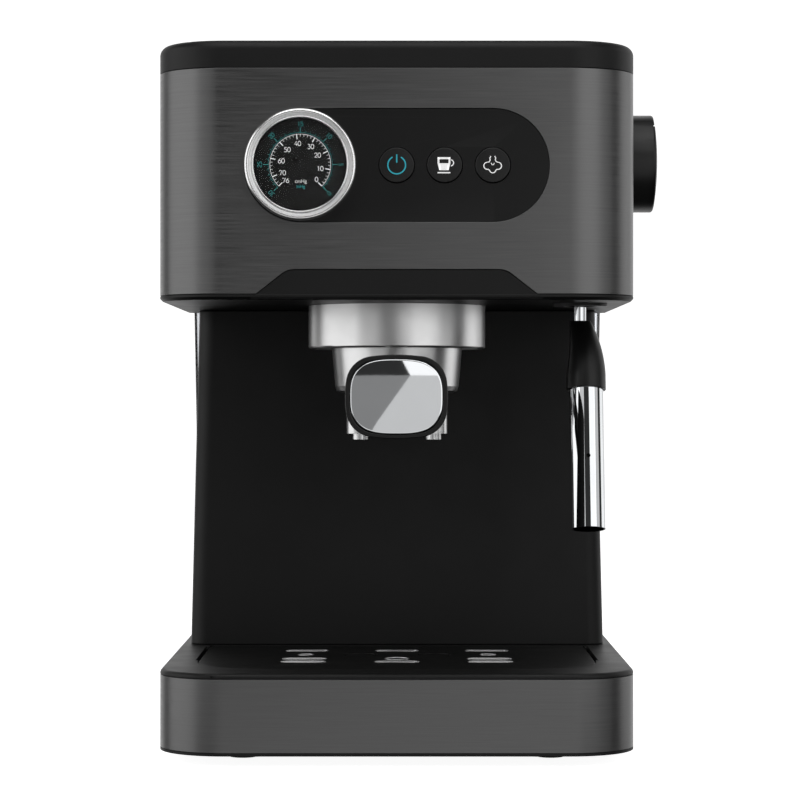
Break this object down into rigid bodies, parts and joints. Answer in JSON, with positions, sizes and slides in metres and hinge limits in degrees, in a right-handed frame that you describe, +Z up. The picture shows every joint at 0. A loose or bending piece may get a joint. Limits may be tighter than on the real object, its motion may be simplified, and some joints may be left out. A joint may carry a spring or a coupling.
{
  "type": "espresso machine",
  "caption": "Pump espresso machine with a pressure gauge, push buttons, side steam knob, frothing wand, locking portafilter, drip tray and rear tank.",
  "frame": {"origin": "centre of the whole footprint, side knob and handle included, on the counter", "axes": "+X to the right seen from the front, +Y from the front face towards the tank at the back, +Z up"},
  "size_m": [0.219, 0.3354, 0.3082],
  "materials": {
    "brushed_dark_steel": "dark titanium-toned stainless steel, fine horizontal brushing",
    "black_casing": "black ABS with a fine even spark texture",
    "black_satin": "black ABS, satin",
    "rubber_black": "black rubber, matt",
    "screw_steel": "zinc-plated steel",
    "smoked_plastic": "smoke-tinted transparent styrene",
    "tank_black": "black ABS, fine texture",
    "warmer_steel": "brushed stainless steel",
    "button_plastic": "dark grey ABS, satin",
    "circuit_board": "green laminate",
    "bezel_metal": "plated ring, turned face with a bright edge",
    "dial_black": "matt black, printed scales",
    "clear_glass": "clear glass",
    "needle_paint": "thin dark-painted pointer",
    "cast_aluminium": "die-cast aluminium, bead blasted",
    "satin_aluminium": "satin-polished aluminium",
    "bright_chrome": "mirror-bright chrome and polished steel",
    "handle_black": "black phenolic, semi-gloss",
    "nozzle_black": "heat-resistant black plastic",
    "brass": "machined brass",
    "coil_black": "moulded coil, black",
    "hose_clear": "milky silicone and PTFE hose",
    "pipe_ptfe": "drawn metal pipe"
  },
  "bodies": {
    "root": {"base_band": "brushed_dark_steel", "head_band": "brushed_dark_steel", "base_shell": "black_casing", "base_plate": "black_casing", "column_shell": "black_casing", "rear_housing": "black_casing", "rear_panel": "black_casing", "head_shell": "black_casing", "top_cover": "black_casing", "control_panel": "black_satin", "feet": "rubber_black", "cord_gland": "rubber_black", "dock_seal": "rubber_black", "group_gasket": "rubber_black", "pump_mounts": "rubber_black", "case_screws": "screw_steel", "boiler_screws": "screw_steel", "pump_yoke": "screw_steel", "tank_dock": "tank_black", "cup_warmer_plate": "warmer_steel", "control_board": "circuit_board", "gauge_bezel": "bezel_metal", "gauge_dial": "dial_black", "gauge_case": "dial_black", "gauge_glass": "clear_glass", "boiler_lower": "cast_aluminium", "boiler_upper": "cast_aluminium", "group_ring": "cast_aluminium", "brew_collar": "satin_aluminium", "shower_screen": "bright_chrome", "wand_socket": "nozzle_black", "boiler_thermostat": "nozzle_black", "steam_valve": "brass", "pump_barrel": "brass", "pump_coil": "coil_black", "pump_hoses": "hose_clear", "boiler_pipes": "pipe_ptfe"},
    "drip_tray": {"drip_tray": "black_satin"},
    "drip_grid": {"drip_grid": "black_satin"},
    "tank": {"tank_body": "smoked_plastic", "tank_poppet": "tank_black", "lid_hinge_pins": "screw_steel"},
    "tank_lid": {"tank_lid": "tank_black"},
    "button_power": {"button_power": "button_plastic"},
    "button_coffee": {"button_coffee": "button_plastic"},
    "button_steam": {"button_steam": "button_plastic"},
    "gauge_needle": {"gauge_needle": "needle_paint"},
    "steam_knob": {"steam_knob": "handle_black", "knob_spindle": "screw_steel"},
    "portafilter": {"portafilter_bowl": "satin_aluminium", "filter_basket": "bright_chrome", "basket_spring": "screw_steel", "portafilter_spout": "satin_aluminium", "portafilter_handle": "handle_black", "handle_cap": "bright_chrome"},
    "wand_seat": {"ball_seat": "nozzle_black"},
    "wand": {"steam_wand": "bright_chrome", "wand_grip": "handle_black", "froth_sleeve": "bright_chrome", "froth_nozzle": "nozzle_black"}
  },
  "joints": [
    {"name": "tray_lift", "type": "slide", "parent": "root", "child": "drip_tray", "axis": [0, 0, 1], "range_m": [0, 0.03]},
    {"name": "grid_lift", "type": "slide", "parent": "drip_tray", "child": "drip_grid", "axis": [0, 0, 1], "range_m": [0, 0.025]},
    {"name": "tank_lift", "type": "slide", "parent": "root", "child": "tank", "axis": [0, 0, 1], "range_m": [0, 0.21]},
    {"name": "tank_lid_hinge", "type": "hinge", "parent": "tank", "child": "tank_lid", "pos_m": [-0.007, 0.1655, 0.2992], "axis": [-1, 0, 0], "range_deg": [0, 100]},
    {"name": "power_press", "type": "slide", "parent": "root", "child": "button_power", "axis": [0, 1, 0], "range_m": [0, 0.001], "stiffness_N_per_m": 400},
    {"name": "coffee_press", "type": "slide", "parent": "root", "child": "button_coffee", "axis": [0, 1, 0], "range_m": [0, 0.001], "stiffness_N_per_m": 400},
    {"name": "steam_press", "type": "slide", "parent": "root", "child": "button_steam", "axis": [0, 1, 0], "range_m": [0, 0.001], "stiffness_N_per_m": 400},
    {"name": "needle_turn", "type": "hinge", "parent": "root", "child": "gauge_needle", "pos_m": [-0.0477, -0.0917, 0.255], "axis": [0, -1, 0], "range_deg": [0, 270], "stiffness_Nm_per_rad": 0.00002},
    {"name": "steam_knob_turn", "type": "hinge", "parent": "root", "child": "steam_knob", "pos_m": [0.103, -0.0197, 0.2616], "axis": [1, 0, 0], "range_deg": [0, 180]},
    {"name": "portafilter_lock", "type": "hinge", "parent": "root", "child": "portafilter", "pos_m": [-0.007, -0.0117, 0.185], "axis": [0, 0, 1], "range_deg": [-45, 0]},
    {"name": "wand_swing", "type": "hinge", "parent": "root", "child": "wand_seat", "pos_m": [0.0736, -0.0447, 0.2018], "axis": [0, 0, 1], "range_deg": [-30, 75]},
    {"name": "wand_tilt", "type": "hinge", "parent": "wand_seat", "child": "wand", "pos_m": [0.0736, -0.0447, 0.2018], "axis": [1, 0, 0], "range_deg": [-22, 6]}
  ]
}
